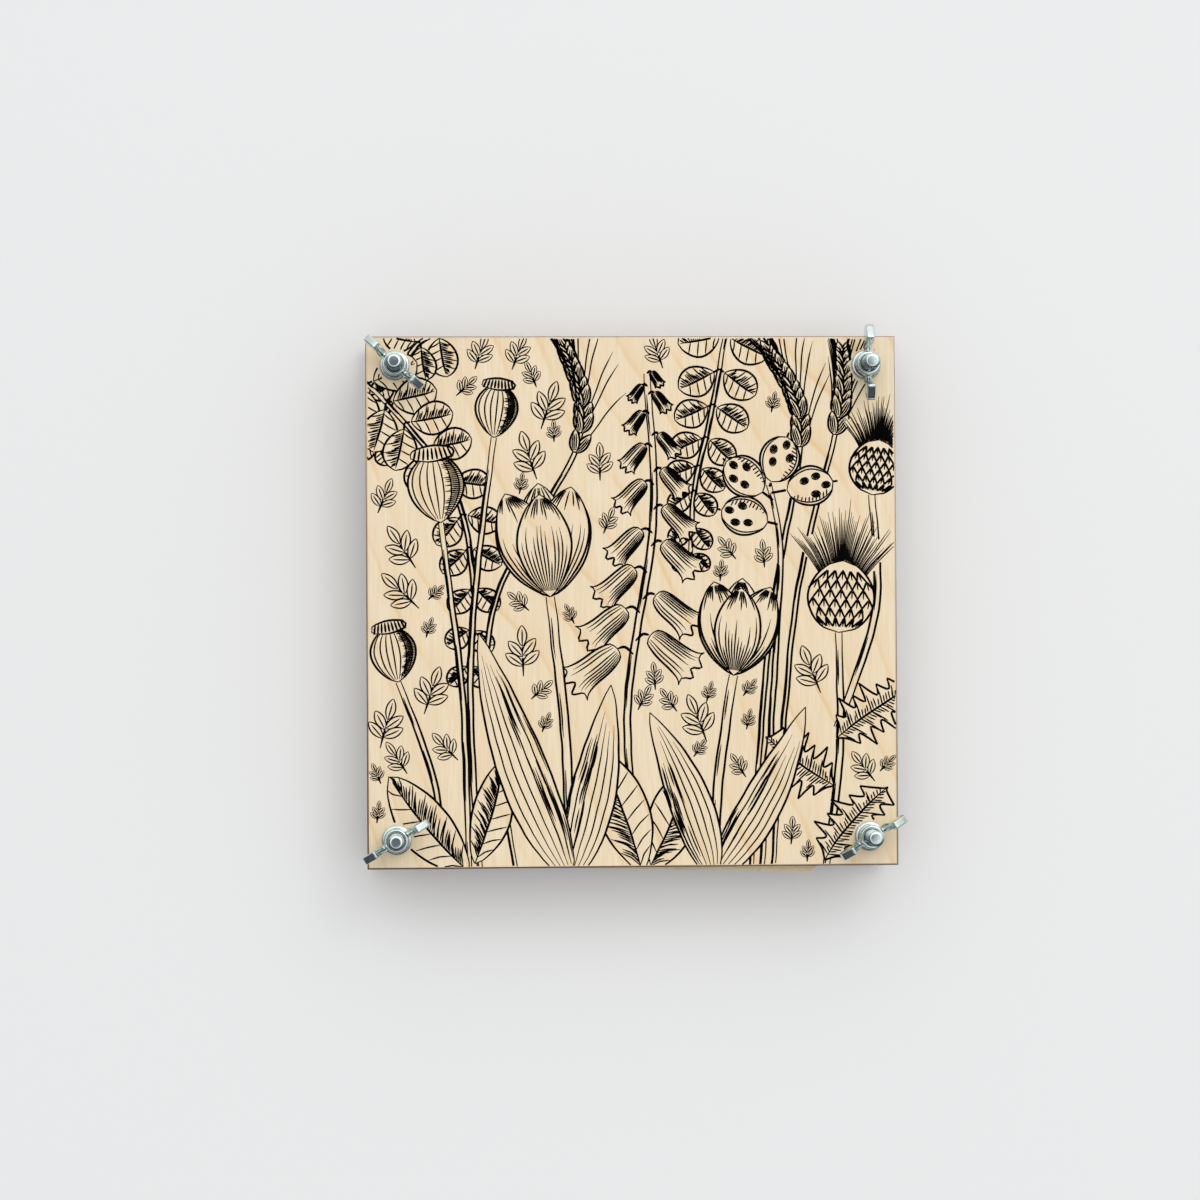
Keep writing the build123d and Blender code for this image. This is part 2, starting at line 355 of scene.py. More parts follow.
# %% Birch plywood material
def birch_plywood(name, board, seed):
    """Bare birch plywood, peeled and laser cut: cream and softly streaked, with a burnt edge."""
    low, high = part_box(board)
    material, add, surface, in_mm = new_material(name)
    face, fibres = birch_face(add, in_mm, seed)
    # The rim darkens the face with char, and with painted shade at the front and left
    char_and_painted_shade = charred_rim_with_painted_shade(add, in_mm, (high.x - low.x) / 2 / MM)
    rimmed = add("Mix", {"Factor": char_and_painted_shade, "A": face, "B": colour("#4a3220")}, data_type="RGBA")
    edge = burnt_plies(add, in_mm, low.z / MM, (high.z - low.z) / MM)
    wood = add("Mix", {"Factor": cut_edge(add), "A": rimmed, "B": edge}, data_type="RGBA")
    matt = add("MapRange", {"Value": fibres, "To Min": 0.5, "To Max": 0.66})
    grain = add("Bump", {"Strength": 0.35, "Distance": 0.05 * MM, "Height": fibres})
    set_inputs(surface, {"Base Color": wood, "Roughness": matt, "Specular IOR Level": 0.3, "Normal": grain})
    return material


def give(node, material):
    """Put a material in every slot of a CAD node."""
    for place in nodes[node].material_slots:
        place.material = material


give("top_board", birch_plywood("laser_cut_birch_plywood_top", "top_board", 31.0))
give("bottom_board", birch_plywood("laser_cut_birch_plywood_bottom", "bottom_board", 250.0))
slot_counts = [len(nodes[name].material_slots) for name in ("top_board", "bottom_board")]
print("material slots of the boards:", slot_counts)

# %% [markdown]
# ## Card and blotting paper
# The cards are corrugated board with buff liners: soft, matt, with short darker fibres pressed in
# all directions and a few specks. Their cut edges show the wavy medium, which is a shade darker.
# The blotting papers are thick, uncoated and off-white, and only a faint felt texture shows.

# %% Card and paper materials
cloud_size = 12
fibre_stretch = 4


def pressed_paper(name, pale, dark, speck, edge, fibre_width):
    """Matt paper stock: cloudy tone, short fibres, specks, and another tone on its cut edge."""
    material, add, surface, in_mm = new_material(name)
    clouds = add("TexNoise", {"Vector": in_mm, "Scale": 1 / cloud_size, "Detail": 3.0})
    sheet = add("Mix", {"Factor": clouds, "A": colour(pale), "B": colour(dark)}, data_type="RGBA")
    place = add("Mapping", {"Vector": in_mm, "Scale": (1 / fibre_stretch, 1.0, 1.0)})
    pulp = {"Vector": place, "Scale": 1 / fibre_width, "Detail": 4.0, "Distortion": 1.5}
    fibres = add("TexNoise", pulp)
    strands = add("MapRange", {"Value": fibres, "From Min": 0.52, "From Max": 0.75, "To Max": 0.6})
    flecked = add("Mix", {"Factor": strands, "A": sheet, "B": colour(speck)}, data_type="RGBA")
    paper = add("Mix", {"Factor": cut_edge(add), "A": flecked, "B": colour(edge)}, data_type="RGBA")
    felt = add("Bump", {"Strength": 0.4, "Distance": 0.06 * MM, "Height": fibres})
    set_inputs(surface, {"Base Color": paper, "Roughness": 0.88, "Specular IOR Level": 0.2, "Normal": felt})
    return material


buff_card = pressed_paper("buff_corrugated_card", "#ecddbd", "#e2cfa9", "#c2a97e", "#d6bf96", 0.9)
blotting_paper = pressed_paper("felted_blotting_paper", "#f1ede2", "#eae4d6", "#d9d0bd", "#ece6d8", 0.7)
cards = [name for name in nodes if name.startswith("card_")]
papers = [name for name in nodes if name.startswith("blotter_")]
for name in cards:
    give(name, buff_card)
for name in papers:
    give(name, blotting_paper)
print(len(cards), "cards and", len(papers), "blotting papers")

# %% [markdown]
# ## Bright zinc on steel
# The fasteners are cheap steel, pressed or forged and then plated with bright zinc. The plating is
# a mirror with a faint blue cast, broken by a fine orange-peel waviness and a few duller patches.
# The waviness is drawn about 1 mm long, coarser than it is, so that it shows from here.

# %% Zinc material
dull_patch_size = 4
wave_length = 1.0
zinc, add, surface, in_mm = new_material("bright_zinc_plated_steel")
patches = add("TexNoise", {"Vector": in_mm, "Scale": 1 / dull_patch_size, "Detail": 3.0})
plating = add("Mix", {"Factor": patches, "A": colour("#dce7e7"), "B": colour("#bccdcf")}, data_type="RGBA")
dull = add("MapRange", {"Value": patches, "From Min": 0.3, "From Max": 0.75, "To Min": 0.07, "To Max": 0.2})
waves = add("TexNoise", {"Vector": in_mm, "Scale": 1 / wave_length, "Detail": 3.0})
peel = add("Bump", {"Strength": 0.32, "Distance": 0.05 * MM, "Height": waves})
set_inputs(surface, {"Base Color": plating, "Metallic": 1.0, "Roughness": dull, "Normal": peel})
for corner in corners:
    give(f"washer_{corner}", zinc)
print("zinc on", len(corners), "washers")

# %% [markdown]
# ## From a bmesh to a piece
# Most of a fastener is turned, so one function spins half an outline round the upright axis. Each
# fastener is modelled about that axis, then moved to its corner inside the mesh, so the object
# itself stays at the origin. Edges that turn sharply are marked sharp, and the rest is shaded
# smooth.

# %% Helpers that turn, place and finish a piece
upright_axis = {"cent": (0, 0, 0), "axis": (0, 0, 1)}


def spin_outline(mesh, outline, steps=48, start=0.0):
    """Spin an outline of radius and height, from a start angle once round the upright axis."""
    turn = Matrix.Rotation(start, 3, "Z")
    points = [mesh.verts.new(turn @ Vector((radius, 0, level))) for radius, level in outline]
    sides = [mesh.edges.new(pair) for pair in zip(points, points[1:])]
    geometry = points + sides
    bmesh.ops.spin(mesh, geom=geometry, angle=2 * math.pi, steps=steps, use_merge=True, **upright_axis)


def make_piece(name, mesh, material, body, sharp_angle=35.0):
    """Turn a bmesh into a smooth-shaded object that rides on a body."""
    bmesh.ops.recalc_face_normals(mesh, faces=mesh.faces)
    for face in mesh.faces:
        face.smooth = True
    for edge in mesh.edges:
        edge.smooth = edge.calc_face_angle(0.0) < math.radians(sharp_angle)
    data = bpy.data.meshes.new(name)
    mesh.to_mesh(data)
    mesh.free()
    data.materials.append(material)
    piece = bpy.data.objects.new(name, data)
    scene.collection.objects.link(piece)
    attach(piece, body)
    return piece


def axis_of(node):
    """The upright axis through the middle of a CAD node, as a shift from the origin."""
    low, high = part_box(node)
    return Vector(((low.x + high.x) / 2, (low.y + high.y) / 2, 0))


print("bolt axis:", [round(x / MM, 2) for x in axis_of("bolt_front_left")])

# %% [markdown]
# ## Carriage bolts
# A carriage bolt has a low domed head, a square neck that bites into the wood and a long thread.
# The thread is one tooth, a few vertices, spun round the axis while it climbs by one pitch a turn.
# The turns meet, so merging doubles closes the surface, and two cuts give it flat ends. Drawing
# the outermost points inwards near the tip gives the chamfer that the die leaves, and a small
# rounded cap with a flat middle closes the bolt.

# %% Thread and tip of a bolt
merge_distance = 0.002 * MM
level_tolerance = 0.001 * MM
thread_pitch = 1.0 * MM
steps_per_turn = 28
crest_radius = 2.98 * MM
root_radius = crest_radius - 0.55 * MM
# Outline of a tooth as radius and share of the pitch
tooth_outline = (
    (root_radius, 0.0), (root_radius, 0.15), (crest_radius, 0.46), (crest_radius, 0.69), (root_radius, 1.0),
)
# Half outline of the cap as radius and depth below the tip in mm, widest where it meets the thread
cap_outline = (
    (0.0, 0.0), (1.7, 0.0), (1.8, 0.005), (2.2, 0.075), (2.55, 0.2), (2.75, 0.38), (2.8, 0.6),
    (2.35, 0.8), (0.0, 0.8),
)
cap_radius, cap_depth = (size * MM for size in max(cap_outline))


def cut_flat(mesh, level, keep_below):
    """Cut a closed mesh at a level and close it with a flat face."""
    up = (0, 0, 1 if keep_below else -1)
    everything = mesh.verts[:] + mesh.edges[:] + mesh.faces[:]
    bmesh.ops.bisect_plane(mesh, geom=everything, plane_co=(0, 0, level), plane_no=up, clear_outer=True)
    on_cut = {vert for vert in mesh.verts if abs(vert.co.z - level) < level_tolerance}
    rim = [edge for edge in mesh.edges if edge.is_boundary and on_cut.issuperset(edge.verts)]
    bmesh.ops.holes_fill(mesh, edges=rim, sides=0)


def add_thread(mesh, bottom, top):
    """A helical thread between two levels, with a chamfered and capped tip."""
    start = bottom - 1.5 * thread_pitch
    tooth = [mesh.verts.new((radius, 0, start + share * thread_pitch)) for radius, share in tooth_outline]
    sides = [mesh.edges.new(pair) for pair in zip(tooth, tooth[1:])]
    turns = math.ceil((top - start) / thread_pitch) + 1
    bmesh.ops.spin(
        mesh,
        geom=tooth + sides,
        dvec=(0, 0, thread_pitch / steps_per_turn),
        angle=2 * math.pi * turns,
        steps=steps_per_turn * turns,
        use_merge=False,
        **upright_axis,
    )
    bmesh.ops.remove_doubles(mesh, verts=mesh.verts, dist=merge_distance)
    thread_top = top - cap_depth
    cut_flat(mesh, thread_top, keep_below=True)
    cut_flat(mesh, bottom, keep_below=False)
    for vert in mesh.verts:
        limit = cap_radius + (thread_top - vert.co.z)
        radius = vert.co.xy.length
        if radius > limit:
            vert.co.xy *= limit / radius
    spin_outline(mesh, [(radius * MM, top - depth * MM) for radius, depth in cap_outline])


print("thread pitch in mm:", thread_pitch / MM)

# %% Head and neck of a bolt, and the four bolts
head_rim_height = 0.8 * MM
arc_steps = 8
neck_side = 6.4 * MM
neck_height = 4.0 * MM
neck_rounding = 0.5 * MM


def add_head(mesh, bottom, diameter, height):
    """A low dome with a short upright rim, spun from half its outline, and the square neck."""
    dome_rise = height - head_rim_height
    dome_radius = ((diameter / 2) ** 2 + dome_rise ** 2) / (2 * dome_rise)
    widest = math.asin(diameter / 2 / dome_radius)
    angles = [widest * step / arc_steps for step in range(arc_steps + 1)]
    dome = [(dome_radius * math.sin(angle), dome_radius * (1 - math.cos(angle))) for angle in angles]
    outline = dome + [(diameter / 2, height), (0, height)]
    spin_outline(mesh, [(radius, bottom + level) for radius, level in outline])
    neck_place = Matrix.Translation((0, 0, bottom + height + neck_height / 2))
    neck_size = Matrix.Diagonal((neck_side, neck_side, neck_height, 1))
    neck = bmesh.ops.create_cube(mesh, size=1.0, matrix=neck_place @ neck_size)
    neck_verts = set(neck["verts"])
    neck_edges = [edge for edge in mesh.edges if neck_verts.issuperset(edge.verts)]
    uprights = [edge for edge in neck_edges if abs(edge.verts[0].co.z - edge.verts[1].co.z) > MM]
    bmesh.ops.bevel(
        mesh, geom=uprights, offset=neck_rounding, segments=3, profile=0.5, affect="EDGES", material=-1
    )
    bmesh.ops.remove_doubles(mesh, verts=mesh.verts, dist=merge_distance)


for corner in corners:
    low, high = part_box(f"bolt_{corner}")
    head_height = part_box("bottom_board")[0].z - low.z
    bolt = bmesh.new()
    add_thread(bolt, low.z + head_height + neck_height, high.z)
    add_head(bolt, low.z, high.x - low.x, head_height)
    bmesh.ops.translate(bolt, verts=bolt.verts, vec=axis_of(f"bolt_{corner}"))
    piece = make_piece(f"carriage_bolt_{corner}", bolt, zinc, "base")
    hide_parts(f"bolt_{corner}")
    print(piece.name, len(piece.data.polygons), "faces")

# %% [markdown]
# ## Wing nuts
# A wing nut is forged in one piece: a hub with a thin flange, two webs, and two ears that are blocky
# at their outer end. A subdivision cage suits that: the hub is spun from half its outline,
# and the side facing each wing is drawn out step by step to the tip of the ear. The edges of
# the ears are creased, so that they stay blocky while the webs flow softly into the hub.

# %% Cage of a wing nut
hub_sides = 16
# Subdivision draws a ring of points inwards, so the cage is larger by this share
cage_growth = 3 / (2 + math.cos(2 * math.pi / hub_sides))
# Half outline of the hub as radius and height in mm, from the lower mouth round the outside and back
hub_outline = (
    (3.1, 0.6), (3.5, 0.0), (5.2, 0.0), (5.35, 0.2), (5.35, 0.9), (5.3, 1.02), (5.2, 1.08), (4.75, 1.18),
    (4.62, 1.3), (4.6, 2.2), (4.55, 5.6), (4.55, 7.3), (4.45, 7.75), (4.15, 8.0), (3.35, 8.0), (3.2, 7.95),
    (3.1, 7.4), (3.1, 0.6),
)
web_low, web_high = 3.0, 5.0
# Steps of a wing in mm: its lower and upper edge, each as distance and height, and half its thickness
wing_steps = (
    ((6.0, 1.7), (6.2, 6.2), 2.0), ((7.2, 3.0), (7.4, 8.6), 1.75), ((8.0, 4.4), (7.85, 12.4), 1.5),
    ((8.3, 4.7), (8.1, 14.75), 1.5), ((10.2, 5.1), (9.3, 14.8), 1.5), ((12.5, 6.4), (12.4, 13.5), 1.5),
    ((14.1, 8.8), (14.5, 12.5), 1.45),
)
ear_start = 8.05 * MM
ear_crease = 0.72
flat_rise = 0.3 * MM


def wing_nut_cage():
    """The cage of one wing nut, wings along X, standing on its base."""
    cage = bmesh.new()
    hub = [(radius * cage_growth * MM, level * MM) for radius, level in hub_outline]
    spin_outline(cage, hub, hub_sides, math.pi / hub_sides)
    bmesh.ops.remove_doubles(cage, verts=cage.verts, dist=merge_distance)
    for side in (1, -1):
        walls = [face for face in cage.faces if web_low < face.calc_center_median().z / MM < web_high]
        wall = max(walls, key=lambda face: side * face.calc_center_median().x)
        for lower, upper, half_thickness in wing_steps:
            middle = wall.calc_center_median().z
            wall = bmesh.ops.extrude_discrete_faces(cage, faces=[wall])["faces"][0]
            for vert in wall.verts:
                reach, level = upper if vert.co.z > middle else lower
                vert.co = Vector((side * reach, math.copysign(half_thickness, vert.co.y), level)) * MM
    crease = cage.edges.layers.float.new("crease_edge")
    for edge in cage.edges:
        first, second = (vert.co for vert in edge.verts)
        if min(abs(first.x), abs(second.x)) > ear_start and abs(first.y - second.y) < flat_rise:
            edge[crease] = ear_crease
    return cage


print("steps of a wing:", len(wing_steps))

# %% The four wing nuts
wing_angles = {"front_left": 31.3, "front_right": 31.2, "back_left": -42.3, "back_right": 90.8}
for corner, angle in wing_angles.items():
    node = f"wing_nut_{corner}"
    cage = wing_nut_cage()
    turn = Matrix.Rotation(math.radians(angle), 4, "Z")
    seat = Matrix.Translation(axis_of(node) + Vector((0, 0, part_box(node)[0].z)))
    bmesh.ops.transform(cage, matrix=seat @ turn, verts=cage.verts)
    piece = make_piece(f"forged_{node}", cage, zinc, node, sharp_angle=180.0)
    rounding = piece.modifiers.new("rounding", "SUBSURF")
    rounding.levels = rounding.render_levels = 3
    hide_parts(node)
    bpy.context.view_layer.update()
    rounded = piece.evaluated_get(bpy.context.evaluated_depsgraph_get())
    print(piece.name, "in mm:", [round(side / MM, 2) for side in rounded.dimensions])

# %% [markdown]
# ## A pen for the printed drawing
# The upper board carries a black line drawing of plants, printed straight on the bare wood. An
# image would be the usual way, but strokes that are modelled here stay sharp from any distance.
# The pen works as a hand does: a line thins out at its ends, trembles a little, and stops
# where a plant in front hides it. So what is in front is drawn first, and each closed
# outline then covers its place. The washers' places stay bare.

# %% What lies in front
print_half = 99.35
# Outlines in front are listed by squares of this side, so that few are searched for each place
hidden_cell = 8.0
in_front = {}


def cover(outline):
    """Keep whatever is drawn later from showing inside an outline."""
    sides = [(*start, *stop) for start, stop in zip(outline, outline[1:] + outline[:1])]
    columns = [int(place.x // hidden_cell) for place in outline]
    rows = [int(place.y // hidden_cell) for place in outline]
    for column in range(min(columns), max(columns) + 1):
        for row in range(min(rows), max(rows) + 1):
            in_front.setdefault((column, row), []).append(sides)


def hidden(x, y):
    """Whether a place is off the print, or inside an outline that lies in front."""
    if max(abs(x), abs(y)) > print_half:
        return True
    for sides in in_front.get((int(x // hidden_cell), int(y // hidden_cell)), ()):
        crossings = sum(
            (ay > y) != (by > y) and x < (bx - ax) * (y - ay) / (by - ay) + ax for ax, ay, bx, by in sides
        )
        if crossings % 2:
            return True
    return False


print("the print is", 2 * print_half, "mm wide")

# %% Pen
outline_pen = 0.86
fine_pen = 0.58
pen_step = 0.4
taper_share = 0.3
tremble_reach = 0.3
tremble_length = 8.0
# Squares of this side that have ink in them are kept, so that open places can be found
inked_cell = 2.5
shortest_run, long_run = 3, 40
fine_stride, coarse_stride = 2, 4
# One seed serves the choices and the tremble of the hand, so every run draws the same lines
drawing_seed = 5
hand = random.Random(drawing_seed)
noise.seed_set(drawing_seed)
strokes = {}
inked = set()


def pen(motif, line, width, start=0.45, end=0.45):
    """Ink a line, with shares of its width at its ends, and lift the pen where something lies in front."""
    places = []
    for first, second in zip(line, line[1:]):
        count = max(1, round((second - first).length / pen_step))
        places += [first.lerp(second, index / count) for index in range(count)]
    places.append(line[-1])
    run = []
    for index, place in enumerate(places + [None]):
        if place is not None and not hidden(place.x, place.y):
            share = index / len(places)
            rise = start + (1 - start) * share / taper_share
            fall = end + (1 - end) * (1 - share) / taper_share
            tremble = noise.noise_vector(place.to_3d() / tremble_length) * tremble_reach
            x, y = (min(max(spot, -print_half), print_half) for spot in place + tremble.to_2d())
            run.append((x, y, width * min(1.0, rise, fall)))
            inked.add((int(place.x // inked_cell), int(place.y // inked_cell)))
            continue
        if len(run) >= shortest_run:
            stride = fine_stride if len(run) < long_run else coarse_stride
            strokes.setdefault(motif, []).append(run[:-1:stride] + run[-1:])
        run = []


print("pens in mm:", outline_pen, fine_pen)

# %% Smooth lines and turned shapes
washer_room = 6.3


def flowing(points, steps):
    """A smooth line through a few places."""
    points = [Vector(point) for point in points]
    ends = [points[0], *points, points[-1]]
    line = []
    for before, first, second, after in zip(ends, ends[1:], ends[2:], ends[3:]):
        knots = (first, first + (second - before) / 6, second - (after - first) / 6, second)
        bend = interpolate_bezier(*[knot.to_3d() for knot in knots], steps + 1)
        line += [place.to_2d() for place in bend[:-1]]
    return line + [points[-1]]


def heading_frame(origin, heading):
    """A map from forward and sideways mm to the board, for a shape that points along a heading."""
    turn = Matrix.Rotation(math.radians(heading), 2)
    return lambda forward, sideways: Vector(origin) + turn @ Vector((forward, sideways))


for corner in corners:
    bolt_place = axis_of(f"bolt_{corner}").to_2d() / MM
    cover([heading_frame(bolt_place, angle)(washer_room, 0) for angle in range(0, 360, 15)])
print("places kept bare for washers:", len(corners))

# %% [markdown]
# ## Leaves, petals and stems
# Nearly everything on a plant is a blade: it starts at a point, swells and ends at a point. One
# function turns a length, a width and a bow into a map from shares to the board, and lines along
# or across it follow its form. Hatching on one half makes it round, as an engraver would do it.

# %% Blades and their outlines
def blade(base, heading, length, width, bow, fullest, fullness):
    """A leaf or petal, as a map from shares of its length and half width to the board.

    It is fullest at a share of its length, and a low fullness makes it blunt.
    """
    spot = heading_frame(base, heading)
    skew = math.log(0.5) / math.log(fullest)

    def place(share, side):
        half = width / 2 * max(0.0, math.sin(math.pi * share ** skew)) ** fullness
        return spot(length * share, length * bow * share ** 2 + side * half)

    return place


def along(place, side, first=0.0, last=1.0, steps=18):
    """A line along a blade at one share of its half width."""
    return [place(first + (last - first) * step / steps, side) for step in range(steps + 1)]


def ink_outline(motif, place, width=outline_pen):
    """The two edges of a blade. What is drawn later goes behind it."""
    for side in (1, -1):
        pen(motif, along(place, side), width)
    cover(along(place, 1) + along(place, -1)[::-1])


sample_blade = blade((0, 0), 90, 10, 4, 0.0, 0.5, 0.8)
print("widest place of a blade 10 mm long and 4 mm wide:", [round(x, 1) for x in sample_blade(0.5, 1)])

# %% Leaves and stems
# Shares of a leaf's length, from the foot of the line, and of its half width or of the line's reach
vein_shares = ((0.0, 0.0), (0.07, 0.5), (0.12, 0.92))
hatch_shares = ((0.0, 0.0), (0.05, 0.5), (0.09, 1.0))
rib_steps = 10
ribbed_leaf_ribs = 5
ribbed_leaf_shade = 16
stem_steps = 14
stem_shade = 0.45
shade_points, shade_spacing = 5, 7


def ink_leaf(motif, place, veins, shade, dark_side):
    """A leaf with a midrib, slanting veins, and fine lines between the veins on its darker half."""
    pen(motif, along(place, 0, 0.0, 0.95), outline_pen, end=0.2)
    for vein in range(veins):
        foot = (vein + 0.5) / (veins + 1)
        for side in (1, -1):
            bend = [place(foot + ahead, wide * side) for ahead, wide in vein_shares]
            pen(motif, bend, fine_pen, end=0.3)
        for line in range(shade):
            mark = foot + (line + 1) / (shade + 1) / (veins + 1)
            reach = hand.uniform(0.35, 0.8) * dark_side
            hatch = [place(mark + ahead, reach * wide) for ahead, wide in hatch_shares]
            pen(motif, hatch, fine_pen, end=0.2)
    ink_outline(motif, place)


def ink_ribbed(motif, place, dark_side):
    """A broad leaf with lines along it, and short dark lines on one half."""
    for rib in range(ribbed_leaf_ribs):
        side = (rib + 1) / (ribbed_leaf_ribs + 1) * 2 - 1
        pen(motif, along(place, side, 0.05, hand.uniform(0.7, 0.93), rib_steps), fine_pen, end=0.2)
    for _ in range(ribbed_leaf_shade):
        side = dark_side * hand.uniform(0.25, 0.95)
        first = hand.uniform(0.05, 0.6)
        dark_line = along(place, side, first, first + hand.uniform(0.1, 0.25), 4)
        pen(motif, dark_line, fine_pen, start=0.2, end=0.2)
    ink_outline(motif, place)


def ink_stem(motif, line, width):
    """A stem with two sides and a few short lines on its darker one."""
    sides = {1: [], stem_shade: [], -1: []}
    for before, place, after in zip(line[:1] + line, line, line[1:] + line[-1:]):
        across = (after - before).orthogonal().normalized()
        for side, places in sides.items():
            places.append(place + across * side * width / 2)
    for side in (1, -1):
        pen(motif, sides[side], outline_pen)
    for first in range(0, len(line) - shade_points, shade_spacing):
        pen(motif, sides[stem_shade][first:first + shade_points], fine_pen, start=0.3, end=0.3)
    cover(sides[1] + sides[-1][::-1])


def bent_stem(foot, top, bend):
    """The line of a stem between two places, pushed sideways by some mm at its middle."""
    middle = (Vector(foot) + Vector(top)) / 2 + Vector((bend, 0))
    return flowing([foot, middle, top], stem_steps)


print("points along a bent stem:", len(bent_stem((0, 0), (0, 50), 5)))

# %% [markdown]
# ## Tulips and bells
# A tulip's cup is six petals round one point: the middle one in front, two beside it, and three
# behind them of which only the tips show. A bell is drawn from one curve, its wall, mirrored and
# then repeated at smaller widths for the creases. Bells get smaller towards the tip of their stem.

# %% Tulips
# Turn in degrees, length and width as shares of the cup's, and bow
petal_shares = (
    (0, 0.92, 0.6, 0.0), (14, 1.0, 0.62, 0.06), (-14, 1.0, 0.62, -0.06),
    (24, 0.9, 0.5, 0.0), (-24, 0.9, 0.5, 0.0), (0, 1.02, 0.6, 0.0),
)
# A form is where a blade is fullest along its length, and how full it is
petal_form = (0.52, 0.7)
tulip_leaf_form = (0.4, 0.75)
petal_lines = 12
petal_reach = 0.9
tip_line_chance = 0.7
tulip_stem = 3.2


def draw_tulip(motif, foot, head, heading, height, width, leaves):
    """A tulip: cupped petals on a stout stem, and broad leaves from its foot."""
    for turn, length, breadth, bow in leaves:
        leaf = blade(foot, turn, length, breadth, bow, *tulip_leaf_form)
        ink_ribbed(motif, leaf, math.copysign(1, bow))
    for turn, long_share, wide_share, bow in petal_shares:
        petal = blade(head, heading + turn, height * long_share, width * wide_share, bow, *petal_form)
        for line in range(petal_lines):
            side = (line + 0.5) / petal_lines * 2 * petal_reach - petal_reach
            pen(motif, along(petal, side, 0.06, hand.uniform(0.3, 0.7), 6), fine_pen, end=0.15)
            if hand.random() < tip_line_chance:
                pen(motif, along(petal, side, 0.96, hand.uniform(0.72, 0.88), 4), fine_pen, end=0.15)
        ink_outline(motif, petal)
    bend = 0.05 * height * math.copysign(1, foot[0] - head[0])
    ink_stem(motif, bent_stem(foot, head, bend), tulip_stem)


print("petals in a tulip:", len(petal_shares))

# %% Bells
# Shares of a bell's length and of half its mouth
bell_wall_shares = ((0.0, 0.0), (0.05, 0.42), (0.3, 0.62), (0.7, 0.7), (0.92, 0.84), (1.0, 1.05))
bell_lip_shares = (
    (1.0, 1.05), (0.97, 0.66), (1.14, 0.34), (0.98, 0.0), (1.14, -0.34), (0.97, -0.66), (1.0, -1.05),
)
bell_crease_shares = (-0.7, -0.42, 0.05, 0.3, 0.5, 0.68, 0.84)
mouth_share = 0.74
spire_tip = 0.985
tip_lift = 18
bell_stem = 2.4
stalk_pen = outline_pen * 1.3
stalk_out, stalk_up, stalk_arch = 0.28, 0.1, 0.08


def draw_bell(motif, top, heading, length, mouth):
    """A hanging bell with a wavy mouth."""
    spot = heading_frame(top, heading)

    def curve(shares, side, steps):
        return flowing([spot(length * forward, side * mouth / 2 * wide) for forward, wide in shares], steps)

    walls = [curve(bell_wall_shares, side, 4) for side in (1, -1)]
    lip = curve(bell_lip_shares, 1, 4)
    for line in (*walls, lip):
        pen(motif, line, outline_pen)
    for share in bell_crease_shares:
        pen(motif, curve(bell_wall_shares[1:], share, 3)[:hand.randint(8, 12)], fine_pen, end=0.2)
    cover(walls[0] + lip + walls[1][::-1])


def draw_bell_spire(motif, line, first, count, sizes, drop):
    """A stem with bells on both sides, large ones low and small ones at its tip."""
    for bell in range(count):
        share = bell / (count - 1)
        place = line[int((first + (spire_tip - first) * share) * len(line))]
        side = 1 if bell % 2 else -1
        length = sizes[0] + (sizes[1] - sizes[0]) * share
        joint = place + Vector((side * length * stalk_out, length * stalk_up))
        draw_bell(motif, joint, -90 + side * (drop - tip_lift * share), length, length * mouth_share)
        arch = (place + joint) / 2 + Vector((0, length * stalk_arch))
        pen(motif, flowing([place, arch, joint], 4), stalk_pen)
    ink_stem(motif, line, bell_stem)


print("creases in a bell:", len(bell_crease_shares))

# %% [markdown]
# ## Poppy pods and wheat
# A dry poppy pod is a ribbed urn under a flat crown with rays. An ear of wheat is two rows of
# husks that lean out from the stem, each with a long awn. Both stand on thin stems.

# %% Poppy pods
# Shares of a pod's height and of half its width
crown_shares = (
    (0.93, 0.62), (0.97, 0.78), (1.06, 0.72), (1.1, 0.4), (1.12, 0.0), (1.1, -0.4), (1.06, -0.72),
    (0.97, -0.78), (0.93, -0.62), (0.9, -0.3), (0.89, 0.0), (0.9, 0.3), (0.93, 0.62),
)
crown_rays = 9
crown_reach = 0.7
urn_form = (0.56, 0.55)
pod_ribs = 7
pod_reach = 0.84
pod_hatches = 30
pod_stem = 1.9


def draw_pod(motif, foot, bottom, heading, height, width, bend):
    """A ripe poppy pod: a ribbed urn under a flat, rayed crown, on a thin stem."""
    spot = heading_frame(bottom, heading)
    disc = flowing([spot(height * forward, width / 2 * wide) for forward, wide in crown_shares], 4)
    pen(motif, disc, outline_pen)
    for ray in range(crown_rays):
        wide = width / 2 * crown_reach * (2 * ray / (crown_rays - 1) - 1)
        pen(motif, [spot(height * 1.09, wide * 0.8), spot(height * 0.92, wide)], outline_pen, end=0.6)
    cover(disc)
    urn = blade(bottom, heading, height, width, 0.0, *urn_form)
    for rib in range(pod_ribs):
        side = pod_reach * (2 * rib / (pod_ribs - 1) - 1)
        pen(motif, along(urn, side, 0.05, 0.95, rib_steps), fine_pen)
    for hatch in range(pod_hatches):
        mark = 0.08 + 0.84 * hatch / pod_hatches
        reach = hand.uniform(0.3, 0.6)
        pen(motif, [urn(mark, -0.98), urn(mark + 0.02, -0.75), urn(mark + 0.02, -reach)], fine_pen, end=0.2)
    ink_outline(motif, urn)
    ink_stem(motif, bent_stem(foot, bottom, bend), pod_stem)


print("rays in a pod's crown:", crown_rays)

# %% Wheat
ear_share = 0.36
husk_form = (0.45, 0.7)
husk_width_share = 0.42
husk_ribs = (-0.35, 0.1, 0.5)
husk_lean, husk_lean_lost = 26, 10
awn_lean = 13
wheat_stem = 1.6


def heading_at(line, index):
    """The heading of a line at one of its inner points, in degrees."""
    ahead = line[index + 1] - line[index - 1]
    return math.degrees(math.atan2(ahead.y, ahead.x))


